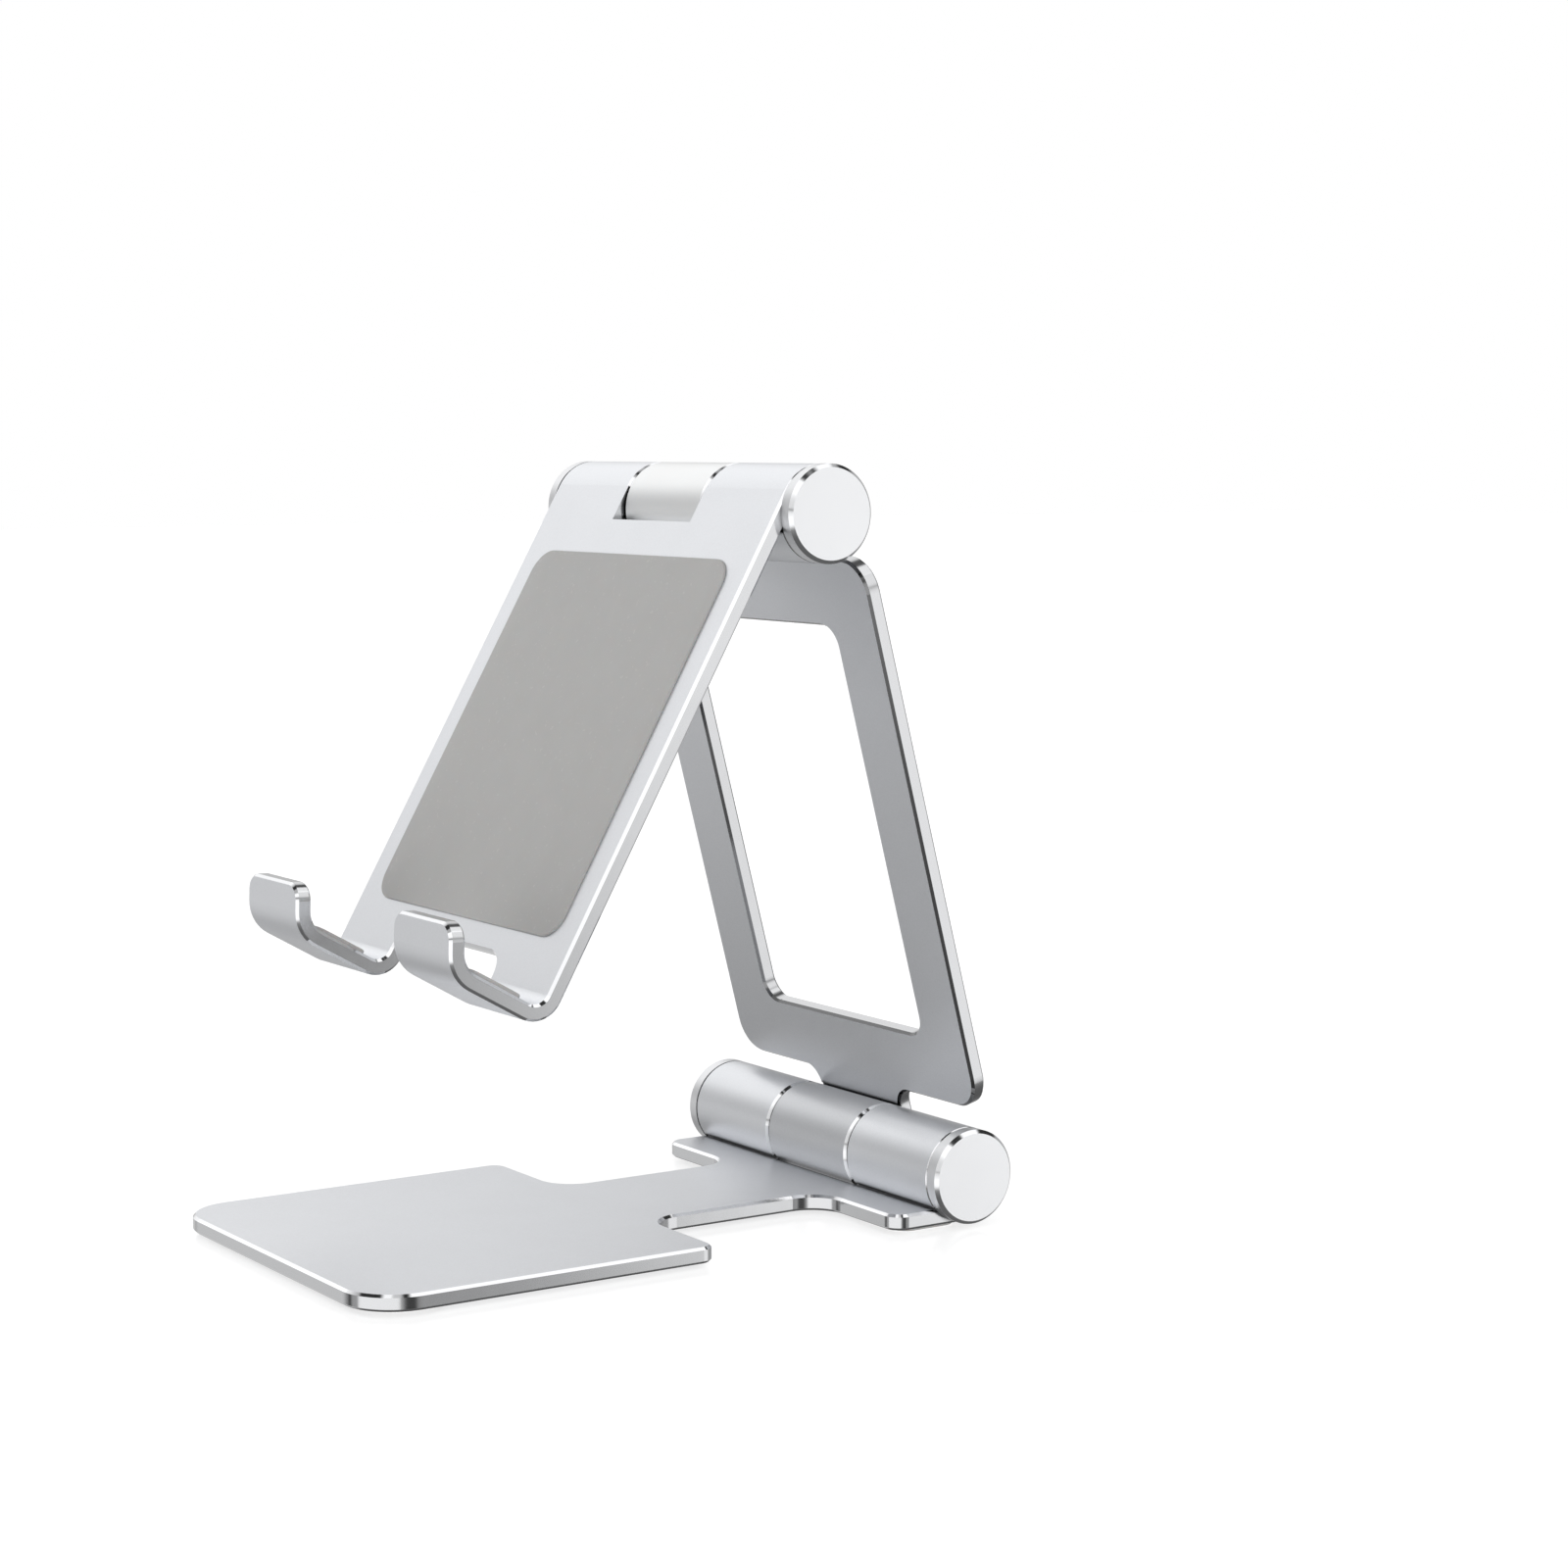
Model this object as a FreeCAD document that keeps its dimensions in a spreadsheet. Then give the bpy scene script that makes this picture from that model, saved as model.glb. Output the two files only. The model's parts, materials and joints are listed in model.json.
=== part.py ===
"""Folding tablet stand: foot leaf, arm frame and tray leaf on two friction hinges.

X runs along the hinge barrels, the front of the stand is -Y and +Z is up. The origin
is on the table, under the middle of the stand's footprint.
"""

import FreeCAD
import Part

import os
import re
import sys

import Sketcher

SIZES = {
    # leaves and barrels
    "barrel_radius": 11.0,
    "leaf_thick": 3.7,
    "leaf_width": 99.0,
    "edge_bevel": 0.6,
    "mid_length": 33.0,
    "knuckle_gap": 0.5,
    "relief_radius": 0.6,
    "overshoot": 10.0,
    # foot leaf
    "foot_thick": 1.0,
    "base_front": 153.0,
    "base_shoulder": 68.0,
    "neck_width": 39.5,
    "wing_front": 20.0,
    "front_round": 12.5,
    "shoulder_round": 3.5,
    "neck_round": 8.0,
    "wing_round": 4.0,
    # foot pads
    "foot_inset": 4.0,
    "front_foot_depth": 18.0,
    "front_foot_round": 8.5,
    "rear_foot_width": 19.5,
    "rear_foot_depth": 16.0,
    "rear_foot_back": 0.5,
    "rear_foot_round": 3.5,
    # arm frame
    "arm_reach": 158.0,
    "arm_lean": 14.75,
    "rail_start": 12.8,
    "rail_width": 16.1,
    "side_rail": 16.7,
    "frame_round": 8.0,
    "window_round": 5.0,
    "tab_round": 5.0,
    # tray leaf and hooks
    "tray_angle": 60.3,
    "tray_reach": 129.0,
    "tray_edge": 116.0,
    "tray_notch_round": 5.0,
    "hook_inner": 23.6,
    "hook_depth": 26.7,
    "root_round": 7.0,
    "lip_round": 9.0,
    "lip_tilt": 28.0,
    "lip_height": 10.5,
    "tip_round": 4.0,
    # tray and hook pads
    "tray_pad_thick": 0.6,
    "tray_pad_width": 84.0,
    "tray_pad_start": 18.0,
    "tray_pad_end": 110.0,
    "tray_pad_round": 6.0,
    "hook_pad_thick": 1.2,
    "hook_pad_inset": 3.0,
    "hook_pad_start": 14.6,
    "hook_pad_end": 28.2,
    "hook_pad_round": 2.0,
    # hinge hardware
    "bolt_radius": 4.0,
    "bore_radius": 4.05,
    "bush_radius": 6.0,
    "head_across": 12.0,
    "head_play": 0.05,
    "head_length": 5.5,
    "bolt_end": 44.5,
    "seat_radius": 7.5,
    "spring_seat": 32.0,
    "washer_radius": 8.5,
    "washer_thick": 0.4,
    "thrust_thick": 1.2,
    "spring_radius": 7.0,
    "spring_thick": 0.8,
    "spring_rise": 0.3,
    "spring_play": 0.02,
    "spring_bore": 4.15,
    "nut_start": 37.7,
    "nut_length": 6.0,
    "cap_thick": 3.65,
    "cap_bevel": 0.8,
    "spigot_length": 4.0,
    "spigot_wall": 1.6,
}

Vector = FreeCAD.Vector
ALONG_X = Vector(1, 0, 0)
ALONG_Y = Vector(0, 1, 0)
ALONG_Z = Vector(0, 0, 1)
# how closely an edge or face has to match the place it is picked by
MATCH = 0.05
# about how far from the middle an outline is first drawn, before its sizes pull it into shape
DRAWN_REACH = 50

document = FreeCAD.newDocument("tablet_stand")
sheet = document.addObject("Spreadsheet::Sheet", "sizes")
for row, (alias, value) in enumerate(SIZES.items(), start=1):
    sheet.set(f"A{row}", alias)
    sheet.set(f"B{row}", str(value))
    sheet.setAlias(f"B{row}", alias)
document.recompute()

SUBPARTS = []


def bound(text):
    """The expression with each size name pointed at the sheet."""
    return re.sub(r"[a-z_]+", lambda found: f"sizes.{found[0]}" if found[0] in SIZES else found[0], text)


def new_body(label, station="lower"):
    """A body for one sub-part, placed on the lower axis, the leaning arm or the tilted tray."""
    body = document.addObject("PartDesign::Body", label)
    body.Label = label
    along = "(base_front - barrel_radius) / 2"
    height = "foot_thick + barrel_radius"
    if station == "arm":
        body.Placement = FreeCAD.Placement(Vector(), FreeCAD.Rotation(ALONG_X, 1))
        body.setExpression("Placement.Rotation.Angle", bound("arm_lean"))
    elif station == "tray":
        body.Placement = FreeCAD.Placement(Vector(), FreeCAD.Rotation(-ALONG_X, 1))
        body.setExpression("Placement.Rotation.Angle", bound("90 - tray_angle"))
        along = f"{along} - arm_reach * sin(arm_lean)"
        height = f"{height} + arm_reach * cos(arm_lean)"
    body.setExpression("Placement.Base.y", bound(along))
    body.setExpression("Placement.Base.z", bound(height))
    SUBPARTS.append(body)
    return body


def new_sketch(body, role, offset=None):
    """An empty sketch on one of the body's origin planes, moved along the plane's normal."""
    sketch = body.newObject("Sketcher::SketchObject", "Sketch")
    plane = [feature for feature in body.Origin.OriginFeatures if feature.Role == role][0]
    sketch.AttachmentSupport = [(plane, "")]
    sketch.MapMode = "FlatFace"
    if offset:
        sketch.setExpression("AttachmentOffset.Base.z", bound(offset))
    return sketch


def pin_point(sketch, geometry, point, place):
    """Hold one point of the sketch at the two distances given from the sketch's origin."""
    for kind, axis, distance in (("DistanceX", -2, place[0]), ("DistanceY", -1, place[1])):
        if distance == "0":
            sketch.addConstraint(Sketcher.Constraint("PointOnObject", geometry, point, axis))
        else:
            index = sketch.addConstraint(Sketcher.Constraint(kind, -1, 1, geometry, point, 1.0))
            sketch.setExpression(f"Constraints[{index}]", bound(distance))


def add_polygon(sketch, corners):
    """A closed outline with straight sides through the corners."""
    first = sketch.GeometryCount
    count = len(corners)
    ring = []
    for index in range(count):
        turned = FreeCAD.Rotation(ALONG_Z, 360 * index / count)
        ring.append(turned.multVec(DRAWN_REACH * ALONG_X))
    for index in range(count):
        sketch.addGeometry(Part.LineSegment(ring[index], ring[(index + 1) % count]), False)
    for index in range(count):
        following = first + (index + 1) % count
        sketch.addConstraint(Sketcher.Constraint("Coincident", first + index, 2, following, 1))
    for index, corner in enumerate(corners):
        pin_point(sketch, first + index, 1, corner)
    return sketch


def box_corners(low_x, high_x, low_y, high_y):
    return [(low_x, low_y), (high_x, low_y), (high_x, high_y), (low_x, high_y)]


def check_change(feature, before, grows):
    """Stop if a feature has left the volume as it was or changed it the wrong way."""
    document.recompute()
    after = feature.Shape.Volume
    if (grows and after <= before) or (not grows and after >= before):
        sys.exit(f"{feature.Name} changed the volume from {before:.2f} to {after:.2f}")
    return feature


def volume_of(body):
    return body.Shape.Volume if body.Tip else 0.0


def extrude(body, kind, sketch, length, side="One side", backwards=False):
    """A Pad or Pocket of the sketch by the length."""
    document.recompute()
    before = volume_of(body)
    feature = body.newObject(f"PartDesign::{kind}", kind)
    feature.Profile = (sketch, [""])
    feature.SideType = side
    feature.Reversed = backwards
    feature.setExpression("Length", bound(length))
    return check_change(feature, before, kind == "Pad")


def turn(body, kind, sketch):
    """A Revolution or Groove of the sketch about its own X axis."""
    document.recompute()
    before = volume_of(body)
    feature = body.newObject(f"PartDesign::{kind}", kind)
    feature.Profile = (sketch, [""])
    feature.ReferenceAxis = (sketch, ["H_Axis"])
    feature.Angle = 360
    return check_change(feature, before, kind == "Revolution")


def dress(body, kind, size, test):
    """A Fillet or Chamfer on the edges of the body that pass the test."""
    document.recompute()
    names = [f"Edge{number}" for number, edge in enumerate(body.Tip.Shape.Edges, start=1) if test(edge)]
    if not names:
        sys.exit(f"{body.Label}: no edge for {size}")
    base = body.Tip
    feature = body.newObject(f"PartDesign::{kind}", kind)
    feature.Base = (base, names)
    feature.setExpression("Radius" if kind == "Fillet" else "Size", bound(size))
    document.recompute()
    return feature


def is_along(edge, direction):
    """True for a straight edge along the direction."""
    if edge.Curve.TypeId != "Part::GeomLine":
        return False
    return abs(abs(edge.Curve.Direction.dot(direction)) - 1) < 1e-6


def near(first, second):
    return abs(first - second) < MATCH


def middle(edge):
    return edge.CenterOfMass


def round_corners(body, size, direction, places):
    """Round the straight edges along the direction whose middles are at the places.

    Each place is a pair of sheet values across the direction, matched on both sides of X.
    """
    def test(edge):
        if not is_along(edge, direction):
            return False
        point = middle(edge)
        across = point.z if direction is ALONG_Y else point.y
        return any(near(abs(point.x), place[0]) and near(across, place[1]) for place in places)
    return dress(body, "Fillet", size, test)


def bevel_rim(body, is_leaf_face, keep):
    """Bevel the edges between the broad faces of a leaf and its narrow outline faces."""
    shape = body.Tip.Shape

    def test(edge):
        if not keep(edge):
            return False
        sides = [is_leaf_face(face) for face in shape.ancestorsOfType(edge, Part.Face)]
        return len(sides) == 2 and sides[0] != sides[1]
    return dress(body, "Chamfer", "edge_bevel", test)


def is_flat_facing(direction):
    """A test for the faces square to the direction."""
    def test(face):
        if face.Surface.TypeId != "Part::GeomPlane":
            return False
        return abs(abs(face.Surface.Axis.dot(direction)) - 1) < 1e-6
    return test


def knuckle(body, start, end, offset=None):
    """A barrel length about the sketch's X axis with bevelled ends."""
    shoulder = "barrel_radius - edge_bevel"
    outline = [(start, "0"), (start, shoulder), (f"{start} + edge_bevel", "barrel_radius"),
               (f"{end} - edge_bevel", "barrel_radius"), (end, shoulder), (end, "0")]
    return turn(body, "Revolution", add_polygon(new_sketch(body, "XY_Plane", offset), outline))


OUTER_START = "(mid_length / 2 + knuckle_gap)"
OUTER_END = "leaf_width / 2"


def outer_knuckles(body):
    """The two outer knuckles of a leaf, bored for the bolt, its head, its springs and the caps."""
    knuckle(body, f"-{OUTER_END}", f"-{OUTER_START}")
    knuckle(body, OUTER_START, OUTER_END)
    cap_seat = "leaf_width / 2 - spigot_length"
    left = [(f"-{OUTER_END}", "0"), (f"-{OUTER_END}", "seat_radius"), (f"-({cap_seat})", "seat_radius"),
            (f"-({cap_seat})", "bore_radius"), (f"-{OUTER_START}", "bore_radius"), (f"-{OUTER_START}", "0")]
    right = [(OUTER_START, "0"), (OUTER_START, "bore_radius"), ("spring_seat", "bore_radius"),
             ("spring_seat", "seat_radius"), (OUTER_END, "seat_radius"), (OUTER_END, "0")]
    for outline in (left, right):
        turn(body, "Groove", add_polygon(new_sketch(body, "XY_Plane"), outline))
    pocket_sketch = new_sketch(body, "YZ_Plane", f"-({cap_seat})")
    add_hexagon(pocket_sketch, "head_across / 2 + head_play")
    extrude(body, "Pocket", pocket_sketch, "head_length + 2 * head_play", backwards=True)


def add_hexagon(sketch, reach):
    """A hexagon about the sketch's origin, its flats at the reach from the origin."""
    half_side = f"({reach}) * tan(30)"
    corner = f"({reach}) / cos(30)"
    return add_polygon(sketch, [(reach, f"-{half_side}"), (reach, half_side), ("0", corner),
                                (f"-({reach})", half_side), (f"-({reach})", f"-{half_side}"),
                                ("0", f"-({corner})")])


def relief(body, place):
    """A fine round groove along X in the corner where a leaf meets its barrel."""
    sketch = new_sketch(body, "YZ_Plane")
    sketch.addGeometry(Part.Circle(DRAWN_REACH * ALONG_X, ALONG_Z, 1), False)
    pin_point(sketch, 0, 3, place)
    index = sketch.addConstraint(Sketcher.Constraint("Radius", 0, 1.0))
    sketch.setExpression(f"Constraints[{index}]", bound("relief_radius"))
    return extrude(body, "Pocket", sketch, "leaf_width + overshoot", side="Symmetric")


CORNER_REACH = "sqrt(barrel_radius ^ 2 - (barrel_radius - leaf_thick) ^ 2)"
SLOT_REACH = "sqrt((barrel_radius + knuckle_gap) ^ 2 - (barrel_radius - leaf_thick) ^ 2)"


def cut_slot(body, role):
    """A sharp-edged slot for the middle knuckle, one knuckle gap clear of its round."""
    slot = box_corners(f"-{OUTER_START}", OUTER_START, f"-{SLOT_REACH}", "overshoot")
    sketch = add_polygon(new_sketch(body, role), slot)
    extrude(body, "Pocket", sketch, "4 * barrel_radius", side="Symmetric")


def make_base():
    """Foot leaf: wide front plate, neck and two wings, tangent to the bottom of the barrel."""
    body = new_body("base_plate")
    side = "leaf_width / 2"
    neck = "neck_width / 2"
    half = [(side, "-base_front"), (side, "-base_shoulder"), (neck, "-base_shoulder"), (neck, "-wing_front"),
            (side, "-wing_front"), (side, "0")]
    mirrored = [(f"-{across}", along) for across, along in reversed(half)]
    sketch = add_polygon(new_sketch(body, "XY_Plane", "-barrel_radius"), half + mirrored)
    extrude(body, "Pad", sketch, "leaf_thick")
    half_width = SIZES["leaf_width"] / 2
    half_neck = SIZES["neck_width"] / 2
    shoulder = -SIZES["base_shoulder"]
    wing = -SIZES["wing_front"]
    round_corners(body, "front_round", ALONG_Z, [(half_width, -SIZES["base_front"])])
    round_corners(body, "shoulder_round", ALONG_Z, [(half_width, shoulder)])
    round_corners(body, "neck_round", ALONG_Z, [(half_neck, shoulder), (half_neck, wing)])
    round_corners(body, "wing_round", ALONG_Z, [(half_width, wing)])
    bevel_rim(body, is_flat_facing(ALONG_Z), lambda edge: middle(edge).y < -0.01)
    cut_slot(body, "XY_Plane")
    outer_knuckles(body)
    relief(body, (f"-{CORNER_REACH}", "leaf_thick - barrel_radius"))
    return body


def make_arm():
    """Arm: an open frame with a tab and a middle knuckle at each end, its rear face tangent to both."""
    body = new_body("arm_frame", "arm")
    side = "leaf_width / 2"
    tab = "mid_length / 2"
    top = "arm_reach - rail_start"
    half = [(tab, "0"), (tab, "rail_start"), (side, "rail_start"),
            (side, top), (tab, top), (tab, "arm_reach")]
    mirrored = [(f"-{across}", along) for across, along in reversed(half)]
    sketch = add_polygon(new_sketch(body, "XZ_Plane", "-barrel_radius"), half + mirrored)
    extrude(body, "Pad", sketch, "leaf_thick")
    window_side = "leaf_width / 2 - side_rail"
    window = box_corners(f"-({window_side})", window_side, "rail_start + rail_width",
                         "arm_reach - rail_start - rail_width")
    sketch = add_polygon(new_sketch(body, "XZ_Plane"), window)
    extrude(body, "Pocket", sketch, "4 * barrel_radius", side="Symmetric")
    half_width = SIZES["leaf_width"] / 2
    half_tab = SIZES["mid_length"] / 2
    half_window = half_width - SIZES["side_rail"]
    reach = SIZES["arm_reach"]
    low = SIZES["rail_start"]
    window_low = low + SIZES["rail_width"]
    round_corners(body, "frame_round", ALONG_Y, [(half_width, low), (half_width, reach - low)])
    round_corners(body, "tab_round", ALONG_Y, [(half_tab, low), (half_tab, reach - low)])
    window_places = [(half_window, window_low), (half_window, reach - window_low)]
    round_corners(body, "window_round", ALONG_Y, window_places)
    bevel_rim(body, is_flat_facing(ALONG_Y), lambda edge: 0.01 < middle(edge).z < reach - 0.01)
    for height in (None, "arm_reach"):
        knuckle(body, "-mid_length / 2", "mid_length / 2", height)
    for height in (None, "arm_reach"):
        bore = box_corners("-mid_length / 2", "mid_length / 2", "0", "bush_radius")
        turn(body, "Groove", add_polygon(new_sketch(body, "XY_Plane", height), bore))
    relief(body, ("barrel_radius - leaf_thick", CORNER_REACH))
    relief(body, ("barrel_radius - leaf_thick", f"arm_reach - {CORNER_REACH}"))
    return body


def make_tray():
    """Tray leaf: its face tangent to the front of the barrel, its lower corners bent into two hooks."""
    body = new_body("tray", "tray")
    rear = "(leaf_thick - barrel_radius)"
    front = "-barrel_radius"
    outer_lip = f"({rear} - hook_depth)"
    tip_y = f"{outer_lip} - lip_height * tan(lip_tilt)"
    tip_z = "-tray_reach + lip_height"
    profile = [(rear, "0"), (rear, "-tray_reach"), (outer_lip, "-tray_reach"), (tip_y, tip_z),
               (f"{tip_y} + leaf_thick * cos(lip_tilt)", f"{tip_z} + leaf_thick * sin(lip_tilt)"),
               (f"{outer_lip} + leaf_thick / cos(lip_tilt) - leaf_thick * tan(lip_tilt)",
                "-tray_reach + leaf_thick"),
               (front, "-tray_reach + leaf_thick"), (front, "0")]
    sketch = add_polygon(new_sketch(body, "YZ_Plane"), profile)
    extrude(body, "Pad", sketch, "leaf_width", side="Symmetric")

    thick = SIZES["leaf_thick"]
    bottom = -SIZES["tray_reach"]
    half_way = -SIZES["barrel_radius"] - SIZES["hook_depth"] / 2

    def bend(size, height, at_root):
        def test(edge):
            point = middle(edge)
            if not is_along(edge, ALONG_X) or not near(point.z, height):
                return False
            return (point.y > half_way) == at_root
        return dress(body, "Fillet", size, test)

    bend("root_round", bottom, True)
    bend("root_round - leaf_thick", bottom + thick, True)
    bend("lip_round", bottom, False)
    bend("lip_round - leaf_thick", bottom + thick, False)

    notch = box_corners("-hook_inner", "hook_inner", "-tray_reach - overshoot", "-tray_edge")
    sketch = add_polygon(new_sketch(body, "XZ_Plane"), notch)
    extrude(body, "Pocket", sketch, "12 * barrel_radius", side="Symmetric")
    round_corners(body, "tray_notch_round", ALONG_Y, [(SIZES["hook_inner"], -SIZES["tray_edge"])])
    lip_middle = bottom + SIZES["lip_height"] / 2

    def at_tip(edge):
        point = middle(edge)
        if not near(edge.Length, thick) or is_along(edge, ALONG_X):
            return False
        return point.z > lip_middle and point.y < half_way
    dress(body, "Fillet", "tip_round", at_tip)

    def is_leaf_face(face):
        kind = face.Surface.TypeId
        if kind == "Part::GeomCylinder":
            return abs(abs(face.Surface.Axis.x) - 1) < 1e-6
        if kind != "Part::GeomPlane" or abs(face.Surface.Axis.x) > 0.5:
            return False
        box = face.BoundBox
        trace = (box.YLength ** 2 + box.ZLength ** 2) ** 0.5
        return not near(trace, thick)
    bevel_rim(body, is_leaf_face, lambda edge: middle(edge).z < -0.01)
    cut_slot(body, "XZ_Plane")
    outer_knuckles(body)
    relief(body, ("leaf_thick - barrel_radius", f"-{CORNER_REACH}"))
    return body


def make_pad(label, station, role, offset, corners, thick, rounding, backwards=False):
    """A flat silicone pad with rounded corners."""
    body = new_body(label, station)
    sketch = add_polygon(new_sketch(body, role, offset), corners)
    extrude(body, "Pad", sketch, thick, backwards=backwards)
    through = ALONG_Y if role == "XZ_Plane" else ALONG_Z
    dress(body, "Fillet", rounding, lambda edge: is_along(edge, through))
    return body


def make_pads():
    """Foot pads under the base, one pad on the tray's face and one in each hook."""
    foot = ("lower", "XY_Plane", "-barrel_radius")
    front_side = "leaf_width / 2 - foot_inset"
    front_low = "-base_front + foot_inset"
    front = box_corners(f"-({front_side})", front_side, front_low, f"{front_low} + front_foot_depth")
    make_pad("base_front_pad", *foot, front, "foot_thick", "front_foot_round", backwards=True)
    rear_out = "leaf_width / 2 - foot_inset / 2"
    rear_in = f"{rear_out} - rear_foot_width"
    rear_front = "-(rear_foot_back + rear_foot_depth)"
    rear_back = "-rear_foot_back"
    right = box_corners(rear_in, rear_out, rear_front, rear_back)
    left = box_corners(f"-({rear_out})", f"-({rear_in})", rear_front, rear_back)
    make_pad("base_rear_pad_right", *foot, right, "foot_thick", "rear_foot_round", backwards=True)
    make_pad("base_rear_pad_left", *foot, left, "foot_thick", "rear_foot_round", backwards=True)
    face = box_corners("-tray_pad_width / 2", "tray_pad_width / 2", "-tray_pad_end", "-tray_pad_start")
    make_pad("tray_pad", "tray", "XZ_Plane", "barrel_radius", face, "tray_pad_thick", "tray_pad_round")
    hook_floor = "-tray_reach + leaf_thick"
    hook_in = "hook_inner + hook_pad_inset"
    hook_out = "leaf_width / 2 - hook_pad_inset"
    floor = ("-hook_pad_end", "-hook_pad_start")
    make_pad("hook_pad_right", "tray", "XY_Plane", hook_floor, box_corners(hook_in, hook_out, *floor),
             "hook_pad_thick", "hook_pad_round")
    make_pad("hook_pad_left", "tray", "XY_Plane", hook_floor,
             box_corners(f"-({hook_out})", f"-({hook_in})", *floor), "hook_pad_thick", "hook_pad_round")


def make_turned(label, station, *outlines):
    """A piece turned about the hinge axis."""
    body = new_body(label, station)
    sketch = new_sketch(body, "XY_Plane")
    for outline in outlines:
        add_polygon(sketch, outline)
    turn(body, "Revolution", sketch)
    return body


def make_hinge(name, station):
    """The pieces inside one barrel: bolt, bush, washers, disc springs, nut and end caps."""
    seat = "leaf_width / 2 - spigot_length"
    head_end = f"-({seat}) + head_length + 2 * head_play"
    bolt = make_turned(f"{name}_bolt", station,
                       [(head_end, "0"), (head_end, "bolt_radius"), ("bolt_end - edge_bevel", "bolt_radius"),
                        ("bolt_end", "bolt_radius - edge_bevel"), ("bolt_end", "0")])
    head = add_hexagon(new_sketch(bolt, "YZ_Plane", head_end), "head_across / 2")
    extrude(bolt, "Pad", head, "head_length", backwards=True)

    def at_head_end(edge):
        return edge.Curve.TypeId == "Part::GeomLine" and near(middle(edge).x, bolt.Shape.BoundBox.XMin)
    dress(bolt, "Chamfer", "edge_bevel / 2", at_head_end)

    make_turned(f"{name}_bush", station,
                box_corners("-mid_length / 2", "mid_length / 2", "bore_radius", "bush_radius"))

    play = "(knuckle_gap - washer_thick) / 2"
    inner_face = f"mid_length / 2 + {play}"
    outer_face = f"{inner_face} + washer_thick"
    make_turned(f"{name}_washer_right", station,
                box_corners(inner_face, outer_face, "bore_radius", "washer_radius"))
    make_turned(f"{name}_washer_left", station,
                box_corners(f"-({outer_face})", f"-({inner_face})", "bore_radius", "washer_radius"))

    stack = "spring_seat + thrust_thick"
    make_turned(f"{name}_thrust_washer", station,
                box_corners("spring_seat", stack, "bore_radius", "spring_radius"))

    discs = []
    for index in range(4):
        start = f"({stack} + {index} * (spring_thick + spring_rise + spring_play) + spring_play)"
        rim_shift, eye_shift = ("0", "spring_rise") if index % 2 == 0 else ("spring_rise", "0")
        discs.append([(f"{start} + {rim_shift}", "spring_radius"),
                      (f"{start} + {rim_shift} + spring_thick", "spring_radius"),
                      (f"{start} + {eye_shift} + spring_thick", "spring_bore"),
                      (f"{start} + {eye_shift}", "spring_bore")])
    make_turned(f"{name}_disc_springs", station, *discs)

    nut = new_body(f"{name}_lock_nut", station)
    flats = add_hexagon(new_sketch(nut, "YZ_Plane", "nut_start"), "head_across / 2")
    extrude(nut, "Pad", flats, "nut_length")
    bore = box_corners("nut_start", "nut_start + nut_length", "0", "bolt_radius")
    turn(nut, "Groove", add_polygon(new_sketch(nut, "XY_Plane"), bore))

    for side, sign in (("left", "-"), ("right", "")):
        inner = f"{sign}(leaf_width / 2)"
        face = f"{sign}(leaf_width / 2 + cap_thick)"
        rim = f"{sign}(leaf_width / 2 + cap_thick - cap_bevel)"
        tip = f"{sign}({seat})"
        make_turned(f"{name}_cap_{side}", station,
                    [(face, "0"), (face, "barrel_radius - cap_bevel"), (rim, "barrel_radius"),
                     (inner, "barrel_radius"), (inner, "seat_radius"), (tip, "seat_radius"),
                     (tip, "seat_radius - spigot_wall"), (inner, "seat_radius - spigot_wall"),
                     (inner, "0")])


make_base()
make_arm()
make_tray()
make_pads()
make_hinge("lower", "lower")
make_hinge("upper", "tray")
document.recompute()

for item in document.Objects:
    if "Invalid" in item.State or "Error" in item.State:
        sys.exit(f"{item.Name} failed: {item.State}")
for body in SUBPARTS:
    if body.Shape.isNull() or not body.Shape.isValid():
        sys.exit(f"{body.Label} has no valid shape")
os.makedirs("parts", exist_ok=True)
for body in SUBPARTS:
    body.Shape.exportStep(f"parts/{body.Label}.step")
print(f"{len(SUBPARTS)} sub-parts written")
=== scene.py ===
"""A folding tablet stand in a white studio: materials, silicone pads, floor, light and camera."""

import json
import math

import bmesh
import bpy
from mathutils import Euler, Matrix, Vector


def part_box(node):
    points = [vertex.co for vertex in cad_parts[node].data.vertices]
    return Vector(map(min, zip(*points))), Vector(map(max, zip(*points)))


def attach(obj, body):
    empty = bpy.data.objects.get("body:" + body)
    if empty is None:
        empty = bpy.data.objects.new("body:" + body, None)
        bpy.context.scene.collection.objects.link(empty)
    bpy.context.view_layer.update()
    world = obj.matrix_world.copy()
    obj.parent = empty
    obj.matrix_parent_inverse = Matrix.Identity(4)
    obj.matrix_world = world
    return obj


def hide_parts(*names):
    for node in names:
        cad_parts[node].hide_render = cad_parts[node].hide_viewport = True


MM = 0.001

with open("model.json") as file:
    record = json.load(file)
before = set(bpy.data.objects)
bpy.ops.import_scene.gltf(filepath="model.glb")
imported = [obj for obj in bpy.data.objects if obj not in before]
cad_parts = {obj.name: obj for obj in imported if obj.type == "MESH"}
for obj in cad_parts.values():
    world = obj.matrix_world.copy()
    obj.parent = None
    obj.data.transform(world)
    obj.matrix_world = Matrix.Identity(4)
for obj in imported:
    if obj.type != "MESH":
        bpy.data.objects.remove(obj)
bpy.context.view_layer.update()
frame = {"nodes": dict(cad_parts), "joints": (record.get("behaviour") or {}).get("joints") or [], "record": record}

ALONG_X = Vector((1, 0, 0))
ALONG_Z = Vector((0, 0, 1))

joints = {joint["name"]: joint for joint in frame["joints"]}
mounts = {mount["name"]: mount for mount in frame["record"]["mounts"]}
lower_axis = Vector(joints["arm_tilt"]["pos_m"])
upper_axis = Vector(joints["tray_tilt"]["pos_m"])
barrel_radius = (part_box("lower_cap_left")[1].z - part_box("lower_cap_left")[0].z) / 2

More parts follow.
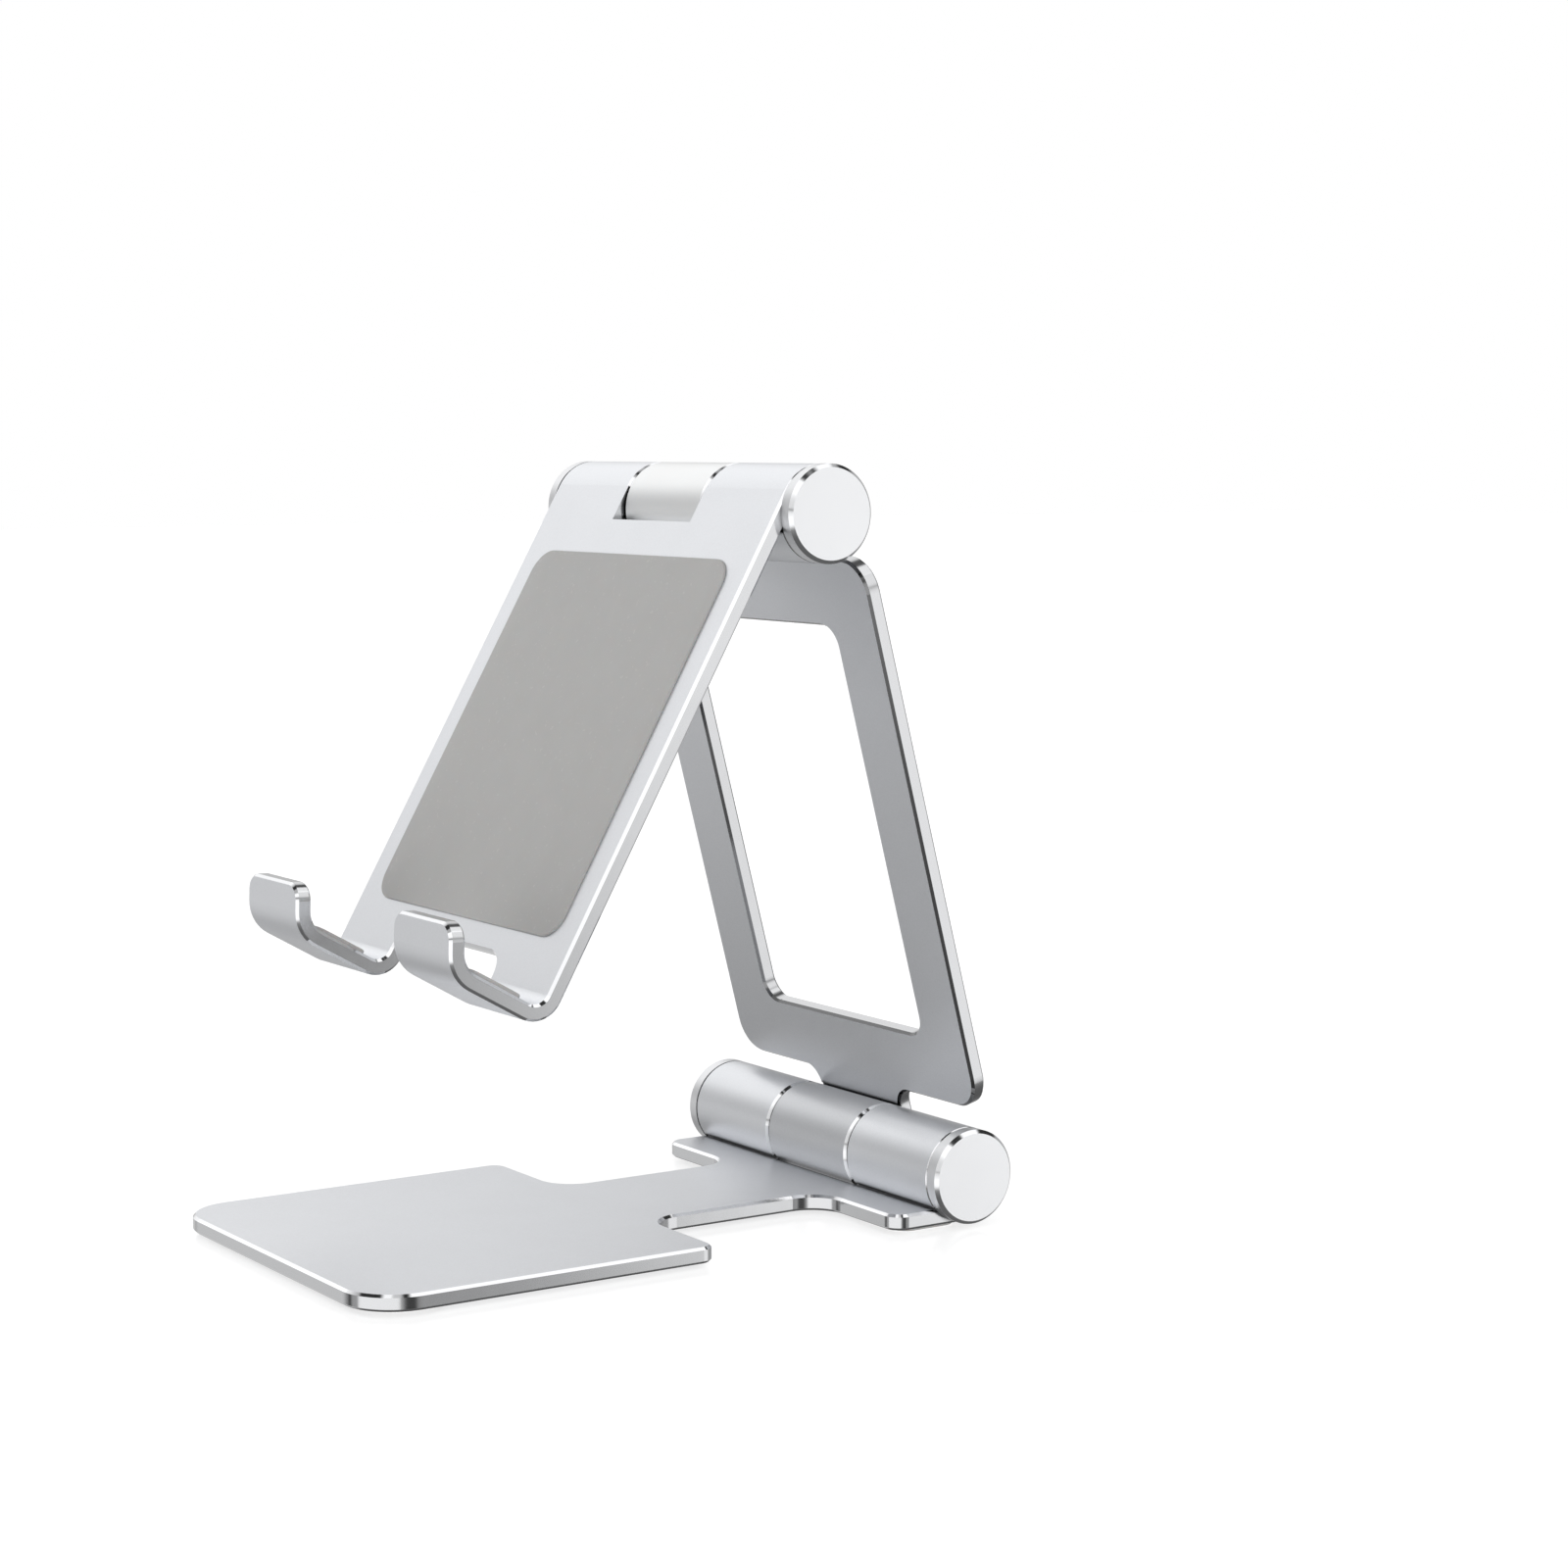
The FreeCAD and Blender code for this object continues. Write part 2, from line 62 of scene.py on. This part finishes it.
# the arm's faces are square to the line between the axes, and the tray's face to its mount's axis
arm_up = (upper_axis - lower_axis).normalized()
arm_face = arm_up.cross(ALONG_X)
tray_face = Vector(mounts["tablet_rest"]["axis"]).normalized()
tray_up = tray_face.cross(ALONG_X)


# ---------------------------------------------------------------- shader nodes

# the ambient occlusion at which the painted crevice shade is full, and at which it is gone
FULL_SHADE_AO = 0.30
NO_SHADE_AO = 0.85


class Shader:
    """A node tree with short ways to add a node and join it up."""

    def __init__(self, tree):
        self.tree = tree
        tree.nodes.clear()

    def put(self, target, value):
        """Set an input to a number, a colour, a vector or another node's output."""
        if isinstance(value, bpy.types.NodeSocket):
            self.tree.links.new(value, target)
        else:
            target.default_value = value

    def add(self, kind, inputs=None, **settings):
        node = self.tree.nodes.new(f"ShaderNode{kind}")
        for name, value in settings.items():
            setattr(node, name, value)
        for name, value in (inputs or {}).items():
            self.put(node.inputs[name], value)
        return node

    def maths(self, operation, *values):
        return self.add("Math", dict(enumerate(values)), operation=operation).outputs[0]

    def vector(self, operation, *values):
        node = self.add("VectorMath", dict(enumerate(values)), operation=operation)
        is_number = operation in ("DOT_PRODUCT", "LENGTH")
        return node.outputs["Value" if is_number else "Vector"]

    def mix(self, factor, first, second):
        return self.add("Mix", {0: factor, 2: first, 3: second}).outputs[0]

    def mix_colour(self, factor, first, second, blend="MIX"):
        node = self.add("Mix", {0: factor, 6: first, 7: second}, data_type="RGBA", blend_type=blend)
        return node.outputs[2]

    def mix_surface(self, factor, first, second):
        """Two shader nodes mixed by a factor."""
        node = self.add("MixShader", {0: factor})
        self.put(node.inputs[1], first.outputs[0])
        self.put(node.inputs[2], second.outputs[0])
        return node

    def tinted(self, tint, tone):
        """A colour scaled by a tone."""
        tones = self.add("CombineColor", {0: tone, 1: tone, 2: tone}).outputs[0]
        return self.mix_colour(1.0, tint, tones, "MULTIPLY")

    def vary(self, value, noise, depth):
        """A value moved up and down by a noise, by half of depth at most."""
        return self.maths("MULTIPLY_ADD", self.maths("SUBTRACT", noise, 0.5), depth, value)

    def step(self, value, low, high, start=0.0, end=1.0):
        """Start below low, end above high, and a smooth change between."""
        inputs = {"Value": value, "From Min": low, "From Max": high, "To Min": start, "To Max": end}
        return self.add("MapRange", inputs, interpolation_type="SMOOTHSTEP").outputs[0]

    def painted_crevice_shade(self, reach):
        """Painted shade: near 0 in grooves, where pieces meet and next to the floor, 1 in the open."""
        shade = self.add("AmbientOcclusion", {"Distance": reach}, samples=8).outputs["AO"]
        return self.step(shade, FULL_SHADE_AO, NO_SHADE_AO)

    def noise(self, position, size, detail=2.0, roughness=0.5):
        """Noise whose features are about as wide as size, in metres, from 0 to 1."""
        inputs = {"Vector": position, "Scale": 1 / size, "Detail": detail, "Roughness": roughness}
        return self.add("TexNoise", inputs).outputs[0]

    def finish(self, output, surface):
        """Join a shader node to a new output node."""
        self.put(self.add(output).inputs["Surface"], surface.outputs[0])

    def bumps(self, surface, strength, distance, height):
        """Give a Principled node a bump from a height."""
        node = self.add("Bump", {"Strength": strength, "Distance": distance, "Height": height})
        self.put(surface.inputs["Normal"], node.outputs[0])


def new_surface(name):
    """A material with a Principled shader, and its tree."""
    material = bpy.data.materials.new(name)
    material.use_nodes = True
    shader = Shader(material.node_tree)
    surface = shader.add("BsdfPrincipled")
    shader.finish("OutputMaterial", surface)
    return material, shader, surface


# ---------------------------------------------------------------- materials

# the very slightly cool tint of edge faces, bevels and caps
RIM_TINT = (0.985, 0.993, 1.01, 1)
TRAY_REACH = 129 * MM
ROOT_BEND = 7 * MM
# the middle of the bend below a hook's lip, out from the hinge axis and up from the hook's floor
LIP_BEND_OUT = 28.6 * MM
LIP_BEND_UP = 9 * MM
LIP_TILT = math.radians(28)
# a surface is inside a barrel up to this much outside the barrel's round
BARREL_SLACK = 0.2 * MM


def squareness(shader, leaf, barrels, hooks=False):
    """1 on a leaf's broad faces and a barrel's round, near 0.7 on bevels and 0 on edge faces.

    Also gives 1 inside the barrels and 0 elsewhere.
    """
    place = shader.add("TexCoord")
    normal = place.outputs["Normal"]
    position = place.outputs["Object"]
    across = shader.maths("ABSOLUTE", shader.vector("DOT_PRODUCT", normal, ALONG_X))
    round_facing = shader.maths("SQRT", shader.maths("SUBTRACT", 1.0, shader.maths("POWER", across, 2.0)))
    facing = shader.maths("ABSOLUTE", shader.vector("DOT_PRODUCT", normal, leaf))
    if hooks:
        # each hook bends out of the leaf's plane, then up into a lip that leans out
        offset = shader.vector("SUBTRACT", position, upper_axis)
        height = shader.vector("DOT_PRODUCT", offset, tray_up)
        below = shader.maths("LESS_THAN", height, ROOT_BEND - TRAY_REACH)
        depth = shader.vector("DOT_PRODUCT", offset, tray_face)
        ahead = shader.maths("GREATER_THAN", depth, barrel_radius + MM)
        lip_up = tray_up * math.cos(LIP_TILT) + tray_face * math.sin(LIP_TILT)
        lip_face = tray_face * math.cos(LIP_TILT) - tray_up * math.sin(LIP_TILT)
        lip_bend = tray_face * LIP_BEND_OUT + tray_up * (LIP_BEND_UP - TRAY_REACH)
        rise = shader.vector("DOT_PRODUCT", shader.vector("SUBTRACT", offset, lip_bend), lip_up)
        on_lip = shader.maths("MULTIPLY", ahead, shader.maths("GREATER_THAN", rise, 0.0))
        lip_facing = shader.maths("ABSOLUTE", shader.vector("DOT_PRODUCT", normal, lip_face))
        facing = shader.mix(shader.maths("MAXIMUM", below, ahead), facing, round_facing)
        facing = shader.mix(on_lip, facing, lip_facing)
    in_barrels = 0.0
    for axis in barrels:
        offset = shader.vector("MULTIPLY", shader.vector("SUBTRACT", position, axis), (0, 1, 1))
        in_barrel = shader.maths("LESS_THAN", shader.vector("LENGTH", offset), barrel_radius + BARREL_SLACK)
        in_barrels = shader.maths("ADD", in_barrels, in_barrel)
    return shader.mix(in_barrels, facing, round_facing), in_barrels


# squareness from which a surface is a broad face, and below which it is an edge face
FACE_FROM = 0.88
EDGE_BELOW = 0.45
EDGE_TONE = 0.70
BARREL_BEVEL_TONE = 0.92
# painted crevice shade: the tone the colour darkens to, and how far the shade reaches on broad faces and on rims
CREVICE_SHADE_TONE = 0.08
FACE_SHADE_REACH = 1.3 * MM
RIM_SHADE_REACH = 1.8 * MM
# widths of the fine grain, of the blasted pits and of the faint clouds, and how much each moves the tone
GRAIN = 0.16 * MM
GRAIN_DEPTH = 0.16
PITS = 0.5 * MM
PIT_DEPTH = 0.07
CLOUDS = 14 * MM
CLOUD_DEPTH = 0.05
SATIN_CLOUDS = 3 * MM
BLASTED_TINT = (0.98, 0.995, 1.025, 1)
# the least roughness of each finish
POLISHED = 0.03
SATIN = 0.11
BLASTED = 0.35


def blasted_aluminium(name, leaf, barrels, brightness, bevel_tone, hooks=False, painted_light_climb=0.0):
    """Clear anodised aluminium: blasted faces, satin edge faces and polished bevels.

    Climb is painted light and shade: how much brighter the faces' colour gets from the lower hinge to the upper
    one.
    """
    material, shader, surface = new_surface(name)
    position = shader.add("TexCoord").outputs["Object"]
    facing, in_barrels = squareness(shader, leaf, barrels, hooks)
    face = shader.maths("GREATER_THAN", facing, FACE_FROM)
    edge = shader.maths("LESS_THAN", facing, EDGE_BELOW)
    grain = shader.noise(position, GRAIN, 2.0, 0.6)
    pits = shader.noise(position, PITS, 3.0, 0.6)
    cloud = shader.noise(position, CLOUDS, 3.0, 0.5)
    tone = shader.vary(brightness, grain, GRAIN_DEPTH)
    # painted light and shade: the colour brightens from the lower hinge up to the upper one
    if painted_light_climb:
        rise = shader.vector("DOT_PRODUCT", shader.vector("SUBTRACT", position, lower_axis), arm_up)
        tone = shader.maths("MULTIPLY_ADD", rise, painted_light_climb / (upper_axis - lower_axis).length, tone)
    tone = shader.vary(shader.vary(tone, pits, PIT_DEPTH), cloud, CLOUD_DEPTH)
    bevels = shader.mix(in_barrels, bevel_tone, BARREL_BEVEL_TONE)
    tone = shader.mix(face, shader.mix(edge, bevels, EDGE_TONE), tone)
    # painted shade: the colour is darkened where ambient occlusion is high, reaching further on bevels and edge
    # faces than on broad faces
    reach = shader.mix(face, RIM_SHADE_REACH, FACE_SHADE_REACH)
    tone = shader.maths("MULTIPLY", tone, shader.mix(shader.painted_crevice_shade(reach), CREVICE_SHADE_TONE, 1.0))
    tint = shader.mix_colour(face, RIM_TINT, BLASTED_TINT)
    shader.put(surface.inputs["Base Color"], shader.tinted(tint, tone))
    shader.put(surface.inputs["Metallic"], 1.0)
    satin = shader.maths("MULTIPLY_ADD", shader.noise(position, SATIN_CLOUDS, 2.0), 0.05, SATIN)
    polish = shader.maths("MULTIPLY_ADD", pits, 0.08, POLISHED)
    blasted = shader.maths("MULTIPLY_ADD", cloud, 0.08, BLASTED)
    rough = shader.mix(face, shader.mix(edge, polish, satin), blasted)
    shader.put(surface.inputs["Roughness"], rough)
    height = shader.maths("ADD", grain, shader.maths("MULTIPLY", pits, 0.6))
    shader.bumps(surface, shader.mix(face, 0.02, 0.22), 0.06 * MM, height)
    return material


CAP_TONE = 0.91
CAP_GRAIN = 0.14 * MM
CAP_CLOUDS = 9 * MM
# how square to the hinge axis the cap's end face is at least, and its bevel
CAP_FACE_FROM = 0.9
CAP_BEVEL_FROM = 0.3
CAP_FACE_ROUGH = 0.20
CAP_RIM_ROUGH = 0.34
CAP_BEVEL_ROUGH = 0.08


def cap_aluminium(name):
    """The end caps: a finer, brighter face turned on its rim."""
    material, shader, surface = new_surface(name)
    place = shader.add("TexCoord")
    position = place.outputs["Object"]
    across = shader.maths("ABSOLUTE", shader.vector("DOT_PRODUCT", place.outputs["Normal"], ALONG_X))
    end_face = shader.maths("GREATER_THAN", across, CAP_FACE_FROM)
    bevel = shader.maths("SUBTRACT", shader.maths("GREATER_THAN", across, CAP_BEVEL_FROM), end_face)
    grain = shader.noise(position, CAP_GRAIN, 2.0, 0.6)
    cloud = shader.noise(position, CAP_CLOUDS, 3.0, 0.5)
    tone = shader.vary(shader.vary(CAP_TONE, grain, 0.10), cloud, 0.04)
    shader.put(surface.inputs["Base Color"], shader.tinted(RIM_TINT, tone))
    shader.put(surface.inputs["Metallic"], 1.0)
    rough = shader.mix(bevel, shader.mix(end_face, CAP_RIM_ROUGH, CAP_FACE_ROUGH), CAP_BEVEL_ROUGH)
    shader.put(surface.inputs["Roughness"], shader.maths("MULTIPLY_ADD", cloud, 0.05, rough))
    shader.bumps(surface, shader.mix(bevel, 0.14, 0.02), 0.05 * MM, grain)
    return material


SILICONE_DARK = (0.49, 0.487, 0.478, 1)
SILICONE_LIGHT = (0.53, 0.526, 0.516, 1)
SILICONE_GRAIN = (0.62, 0.615, 0.6, 1)
SILICONE_DUST = (0.72, 0.71, 0.69, 1)


def silicone(name):
    """Light warm grey silicone, matte, a little dusty, with a fine moulded grain."""
    material, shader, surface = new_surface(name)
    position = shader.add("TexCoord").outputs["Object"]
    grain = shader.noise(position, 0.22 * MM, 3.0, 0.65)
    cloud = shader.noise(position, 7 * MM, 3.0, 0.5)
    dust = shader.step(shader.noise(position, 0.9 * MM, 1.0), 0.68, 0.74)
    colour = shader.mix_colour(cloud, SILICONE_DARK, SILICONE_LIGHT)
    colour = shader.mix_colour(shader.maths("MULTIPLY", grain, 0.25), colour, SILICONE_GRAIN)
    colour = shader.mix_colour(shader.maths("MULTIPLY", dust, 0.3), colour, SILICONE_DUST)
    shader.put(surface.inputs["Base Color"], colour)
    shader.put(surface.inputs["Roughness"], shader.maths("MULTIPLY_ADD", grain, 0.15, 0.55))
    shader.put(surface.inputs["Sheen Weight"], 0.25)
    shader.put(surface.inputs["Sheen Roughness"], 0.5)
    shader.put(surface.inputs["Subsurface Weight"], 0.12)
    shader.put(surface.inputs["Subsurface Scale"], 0.6 * MM)
    shader.bumps(surface, 0.3, 0.05 * MM, grain)
    return material


def turned_metal(name, dark, light, rough, axis):
    """Lathe-turned metal: fine rings about the axis, darker in the grooves."""
    material, shader, surface = new_surface(name)
    position = shader.add("TexCoord").outputs["Object"]
    offset = shader.vector("SUBTRACT", position, axis)
    radius = shader.vector("LENGTH", shader.vector("MULTIPLY", offset, (0, 1, 1)))
    along = shader.vector("DOT_PRODUCT", offset, ALONG_X)
    rings = shader.add("CombineXYZ", {0: along, 1: radius}).outputs[0]
    lines = shader.noise(rings, 0.12 * MM, 2.0)
    stain = shader.noise(position, 4 * MM, 3.0)
    share = shader.maths("MULTIPLY_ADD", stain, 0.5, shader.maths("MULTIPLY", lines, 0.5))
    shader.put(surface.inputs["Base Color"], shader.mix_colour(share, dark, light))
    shader.put(surface.inputs["Metallic"], 1.0)
    shader.put(surface.inputs["Roughness"], shader.maths("MULTIPLY_ADD", stain, 0.12, rough))
    shader.bumps(surface, 0.25, 0.03 * MM, lines)
    return material


def washer_plastic(name):
    """Dark sliding washer, matte, with a faint mottle."""
    material, shader, surface = new_surface(name)
    position = shader.add("TexCoord").outputs["Object"]
    mottle = shader.noise(position, 0.4 * MM, 3.0)
    colour = shader.mix_colour(mottle, (0.018, 0.018, 0.02, 1), (0.05, 0.05, 0.053, 1))
    shader.put(surface.inputs["Base Color"], colour)
    shader.put(surface.inputs["Roughness"], shader.maths("MULTIPLY_ADD", mottle, 0.2, 0.45))
    shader.bumps(surface, 0.15, 0.03 * MM, mottle)
    return material


def paint(material, *names):
    """Give CAD nodes a material through their own slots."""
    for name in names:
        for material_slot in frame["nodes"][name].material_slots:
            material_slot.link = "OBJECT"
            material_slot.material = material


STEEL_DARK = (0.33, 0.335, 0.35, 1)
STEEL_LIGHT = (0.62, 0.63, 0.65, 1)
BRASS_DARK = (0.50, 0.33, 0.12, 1)
BRASS_LIGHT = (0.80, 0.60, 0.28, 1)

base_metal = blasted_aluminium("base_metal", ALONG_Z, [lower_axis], 0.90, 0.92)
# the arm is the same aluminium painted darker: painted shade on its faces and a painted dark reflection on its
# bevels
arm_shaded_metal = blasted_aluminium("arm_shaded_metal", arm_face, [lower_axis, upper_axis], 0.72, 0.24, painted_light_climb=0.28)
tray_metal = blasted_aluminium("tray_metal", tray_face, [upper_axis], 0.95, 0.92, hooks=True)
paint(base_metal, "base_plate")
paint(arm_shaded_metal, "arm_frame")
paint(tray_metal, "tray")
caps = cap_aluminium("cap_metal")
washers = washer_plastic("washer_plastic")
for hinge, axis in (("lower", lower_axis), ("upper", upper_axis)):
    steel = turned_metal(f"{hinge}_steel", STEEL_DARK, STEEL_LIGHT, 0.25, axis)
    brass = turned_metal(f"{hinge}_brass", BRASS_DARK, BRASS_LIGHT, 0.3, axis)
    paint(caps, f"{hinge}_cap_left", f"{hinge}_cap_right")
    paint(washers, f"{hinge}_washer_left", f"{hinge}_washer_right")
    paint(steel, f"{hinge}_bolt", f"{hinge}_thrust_washer", f"{hinge}_disc_springs", f"{hinge}_lock_nut")
    paint(brass, f"{hinge}_bush")


# ---------------------------------------------------------------- silicone pads

CORNER_STEPS = 10
SHOULDER_STEPS = 6
CROWN_STEPS = 6
# the share of the way to the middle that the crown's rings cover, and the tightest corner they get
CROWN_REACH = 0.9
TIGHTEST_CORNER = 0.3 * MM
SMOOTH_BELOW = math.radians(40)


def rounded_outline(half_width, half_length, corner):
    """Points around a rectangle with round corners, counter-clockwise."""
    points = []
    for quarter in range(4):
        sign_x = 1 if quarter in (0, 3) else -1
        sign_y = 1 if quarter in (0, 1) else -1
        for index in range(CORNER_STEPS + 1):
            angle = math.radians(90 * (quarter + index / CORNER_STEPS))
            points.append((sign_x * (half_width - corner) + corner * math.cos(angle),
                           sign_y * (half_length - corner) + corner * math.sin(angle)))
    return points


def make_pad(node, body, normal, corner, shoulder, crown, material):
    """A moulded pad in the place of a plain CAD one: square foot, round shoulder, crowned top."""
    length_way = normal.cross(ALONG_X)
    points = [vertex.co for vertex in frame["nodes"][node].data.vertices]
    spans = []
    for way in (ALONG_X, length_way, normal):
        reach = [point.dot(way) for point in points]
        spans.append((min(reach), max(reach)))
    centre = [(low + high) / 2 for low, high in spans]
    half_width, half_length = ((high - low) / 2 for low, high in spans[:2])
    thick = spans[2][1] - spans[2][0]

    # rings from the foot up the side, round the shoulder and in over the top: (inset, height)
    rings = [(0.0, 0.0), (0.0, (thick - shoulder) * 0.5)]
    for index in range(SHOULDER_STEPS + 1):
        angle = math.radians(90 * index / SHOULDER_STEPS)
        rings.append((shoulder * (1 - math.cos(angle)), thick - crown - shoulder * (1 - math.sin(angle))))
    reach_in = min(half_width, half_length) * CROWN_REACH
    for index in range(1, CROWN_STEPS + 1):
        share = index / CROWN_STEPS
        inset = shoulder + (reach_in - shoulder) * share
        rings.append((inset, thick - crown * (1 - share) ** 2))

    mesh = bpy.data.meshes.new(f"{node}_skin")
    shape = bmesh.new()
    layers = []
    for inset, height in rings:
        round_here = max(corner - inset, TIGHTEST_CORNER)
        outline = rounded_outline(half_width - inset, half_length - inset, round_here)
        layer = []
        for across, along in outline:
            point = ALONG_X * (centre[0] + across) + length_way * (centre[1] + along)
            layer.append(shape.verts.new(point + normal * (spans[2][0] + height)))
        layers.append(layer)
    for lower, upper in zip(layers, layers[1:]):
        for index in range(len(lower)):
            after = (index + 1) % len(lower)
            shape.faces.new((lower[index], lower[after], upper[after], upper[index]))
    shape.faces.new(layers[-1])
    shape.faces.new(reversed(layers[0]))
    bmesh.ops.recalc_face_normals(shape, faces=shape.faces)
    shape.to_mesh(mesh)
    shape.free()
    for face in mesh.polygons:
        face.use_smooth = len(face.vertices) == 4
    mesh.set_sharp_from_angle(angle=SMOOTH_BELOW)
    pad = bpy.data.objects.new(f"{node}_skin", mesh)
    bpy.context.scene.collection.objects.link(pad)
    mesh.materials.append(material)
    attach(pad, body)
    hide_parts(node)


pad_material = silicone("pad_silicone")
make_pad("base_front_pad", "base", -ALONG_Z, 8.5 * MM, 0.35 * MM, 0.06 * MM, pad_material)
for side in ("left", "right"):
    make_pad(f"base_rear_pad_{side}", "base", -ALONG_Z, 3.5 * MM, 0.35 * MM, 0.06 * MM, pad_material)
    make_pad(f"hook_pad_{side}", "tray", tray_up, 2 * MM, 0.45 * MM, 0.10 * MM, pad_material)
make_pad("tray_pad", "tray", tray_face, 6 * MM, 0.25 * MM, 0.05 * MM, pad_material)


# ---------------------------------------------------------------- studio

FLOOR_SIZE = 6
FLOOR_DROP = 0.05 * MM
FLOOR_WHITE = 0.5
FLOOR_GLOW = 0.80
FLOOR_SHINE = 1.7
# the floor mirrors the stand this strongly near it, and not at all further out
NEAR_SHARE = 0.14
SHINE_NEAR = 0.12
SHINE_FAR = 0.35


def add_floor():
    """A pale floor that fades into the white backdrop, just below the pads and clear from beneath."""
    mesh = bpy.data.meshes.new("floor")
    shape = bmesh.new()
    bmesh.ops.create_grid(shape, x_segments=1, y_segments=1, size=FLOOR_SIZE)
    shape.to_mesh(mesh)
    shape.free()
    floor = bpy.data.objects.new("floor", mesh)
    floor.location.z = -FLOOR_DROP
    bpy.context.scene.collection.objects.link(floor)
    material = bpy.data.materials.new("floor_white")
    material.use_nodes = True
    shader = Shader(material.node_tree)
    matte = shader.add("BsdfDiffuse", {"Color": (FLOOR_WHITE, FLOOR_WHITE, FLOOR_WHITE, 1)})
    lift = shader.add("Emission", {"Color": (1, 1, 1, 1), "Strength": FLOOR_GLOW})
    both = shader.add("AddShader")
    shader.put(both.inputs[0], matte.outputs[0])
    shader.put(both.inputs[1], lift.outputs[0])
    shine = (FLOOR_SHINE, FLOOR_SHINE, FLOOR_SHINE, 1)
    gloss = shader.add("BsdfGlossy", {"Color": shine, "Roughness": 0.18})
    distance = shader.vector("LENGTH", shader.add("TexCoord").outputs["Object"])
    nearness = shader.step(distance, SHINE_NEAR, SHINE_FAR, NEAR_SHARE, 0.0)
    top = shader.mix_surface(nearness, both, gloss)
    beneath = shader.add("NewGeometry").outputs["Backfacing"]
    shader.finish("OutputMaterial", shader.mix_surface(beneath, top, shader.add("BsdfTransparent")))
    mesh.materials.append(material)
    floor.visible_glossy = False


def aim(azimuth, elevation):
    """A direction from its azimuth, 0 at the front and 90 at the right, and its elevation."""
    turn, lift = math.radians(azimuth), math.radians(elevation)
    return Vector((math.sin(turn) * math.cos(lift), -math.cos(turn) * math.cos(lift), math.sin(lift)))


# panels and flags round the stand: azimuth, elevation, full-strength angle, soft edge angle, strength
STUDIO = (
    ("left panel", -93, 34, 13, 28, 0.60),
    ("left strip", -73, 27, 4, 5, 0.20),
    ("left low bounce", -100, -27, 14, 14, 0.31),
    ("front left glow", -59, -11, 9, 12, 0.30),
    ("front left flag", -43, -15, 5, 8, -0.34),
    ("front right panel", 45, 32, 24, 4, 0.75),
    ("front right flag", 45, 13, 8, 16, -0.42),
    ("right upper flag", 138, 15, 4, 10, -0.40),
    ("right flag", 92, -14, 6, 11, -0.34),
    ("right low flag", 117, -9, 2, 5, -0.16),
    ("right panel", 140, -2, 19, 6, 0.66),
    ("right high panel", 125, 34, 10, 13, 0.60),
    ("top back panel", 150, 59, 13, 6, 0.70),
    ("top panel", 35, 81, 10, 6, 0.60),
    ("back flag", 180, 31, 13, 6, -0.42),
    ("back left flag", -130, 9, 3, 12, -0.06),
    ("top back flag", -150, 63, 9, 8, -0.34),
    ("top right flag", 80, 68, 10, 5, -0.45),
    ("top left flag", -20, 60, 13, 6, -0.45),
)
# the front panel ends softly above the floor and below eye level
FRONT_PANEL = (28, -14, 38, 7, 0.75)
FRONT_FOOT_START = math.sin(math.radians(-18))
FRONT_FOOT_END = math.sin(math.radians(-28))
FRONT_HEAD_START = math.sin(math.radians(2))
FRONT_HEAD_END = math.sin(math.radians(9))
AMBIENT = 0.44
# the room darkens below the table's edge
DUSK_START = math.sin(math.radians(-8))
DUSK_END = math.sin(math.radians(-45))
DUSK = -0.32
DARKEST = 0.03


def panel_glow(shader, direction, azimuth, elevation, inner, edge, strength):
    """The light that one soft round panel adds in a direction, or that a flag takes away."""
    nearness = shader.vector("DOT_PRODUCT", direction, aim(azimuth, elevation))
    outer = math.cos(math.radians(inner + edge))
    return shader.step(nearness, outer, math.cos(math.radians(inner)), 0.0, strength)


def add_world():
    """White to the camera; to the metal, a grey room with soft panels and dark flags."""
    world = bpy.data.worlds.new("studio")
    bpy.context.scene.world = world
    world.use_nodes = True
    shader = Shader(world.node_tree)
    direction = shader.add("TexCoord").outputs["Generated"]
    rise = shader.vector("DOT_PRODUCT", direction, ALONG_Z)
    light = shader.step(rise, DUSK_END, DUSK_START, AMBIENT + DUSK, AMBIENT)
    front = panel_glow(shader, direction, *FRONT_PANEL)
    front = shader.maths("MULTIPLY", front, shader.step(rise, FRONT_FOOT_END, FRONT_FOOT_START))
    front = shader.maths("MULTIPLY", front, shader.step(rise, FRONT_HEAD_START, FRONT_HEAD_END, 1.0, 0.0))
    light = shader.maths("ADD", light, front)
    for _, *panel in STUDIO:
        light = shader.maths("ADD", light, panel_glow(shader, direction, *panel))
    light = shader.maths("MAXIMUM", light, DARKEST)
    room = shader.add("Background", {"Color": (1, 1, 1, 1), "Strength": light})
    backdrop = shader.add("Background", {"Color": (1, 1, 1, 1), "Strength": 1.0})
    seen = shader.add("LightPath").outputs["Is Camera Ray"]
    shader.finish("OutputWorld", shader.mix_surface(seen, room, backdrop))


LENS_MM = 75
SENSOR_MM = 36
LENS_SHIFT = (0.00075, -0.0059)
CAMERA_PLACE = (0.64256, -0.37695, 0.17996)
LOOK_DOWN = math.radians(5.7775)
LOOK_TURN = math.radians(56.187)


def add_camera():
    """A long lens from the front right, a little above the stand."""
    camera = bpy.data.cameras.new("camera")
    camera.lens = LENS_MM
    camera.sensor_width = SENSOR_MM
    camera.shift_x, camera.shift_y = LENS_SHIFT
    view = bpy.data.objects.new("camera", camera)
    bpy.context.scene.collection.objects.link(view)
    view.location = CAMERA_PLACE
    view.rotation_euler = Euler((math.radians(90) - LOOK_DOWN, 0, LOOK_TURN))
    bpy.context.scene.camera = view


add_floor()
add_world()
add_camera()
bpy.context.scene.view_settings.view_transform = "Standard"
